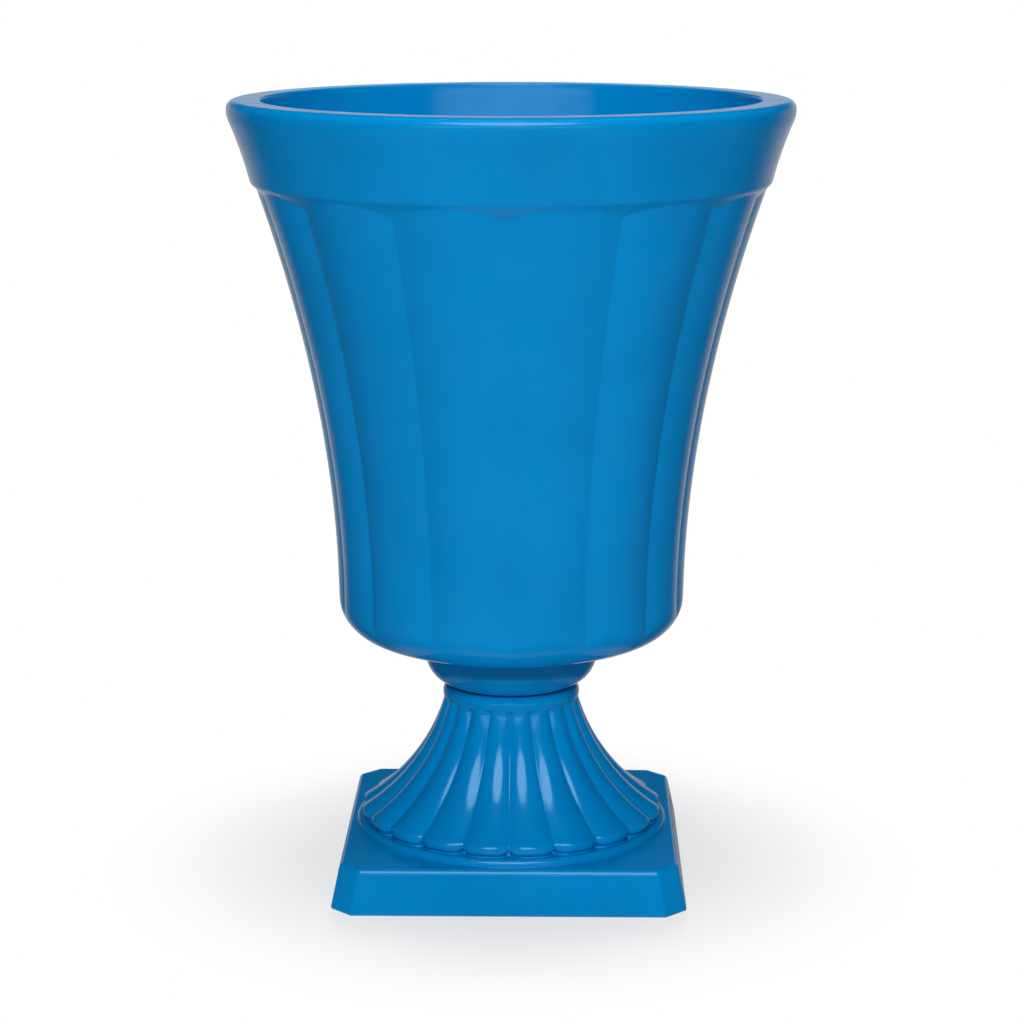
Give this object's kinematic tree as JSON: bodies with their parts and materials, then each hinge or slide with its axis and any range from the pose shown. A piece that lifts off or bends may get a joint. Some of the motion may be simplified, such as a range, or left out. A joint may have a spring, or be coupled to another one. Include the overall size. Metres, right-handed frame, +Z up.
{
  "type": "urn planter",
  "caption": "Flared, fluted urn planter with a plain skirt band under its flat rim, bolted to a fluted pedestal on a square plinth with cut corners.",
  "frame": {"origin": "centre of the plinth's underside, on the floor", "axes": "+Z up through the bowl's mouth, front groove of the flutes and one flat side of the plinth towards -Y"},
  "size_m": [0.399, 0.3988, 0.56],
  "materials": {
    "blue_polyethylene": "satin moulded",
    "zinc_plated_steel": "zinc plated",
    "black_rubber": "matt"
  },
  "bodies": {
    "planter": {"bowl": "blue_polyethylene", "pedestal": "blue_polyethylene", "centre_bolt": "zinc_plated_steel", "head_washer": "zinc_plated_steel", "sealing_washer": "black_rubber", "nut_washer": "zinc_plated_steel", "wing_nut": "zinc_plated_steel"},
    "plug_1": {"drain_plug_1": "black_rubber"},
    "plug_2": {"drain_plug_2": "black_rubber"}
  },
  "joints": [
    {"name": "plug_1_pull", "type": "slide", "parent": "planter", "child": "plug_1", "axis": [0, 0, 1], "range_m": [0, 0.05]},
    {"name": "plug_2_pull", "type": "slide", "parent": "planter", "child": "plug_2", "axis": [0, 0, 1], "range_m": [0, 0.05]}
  ]
}
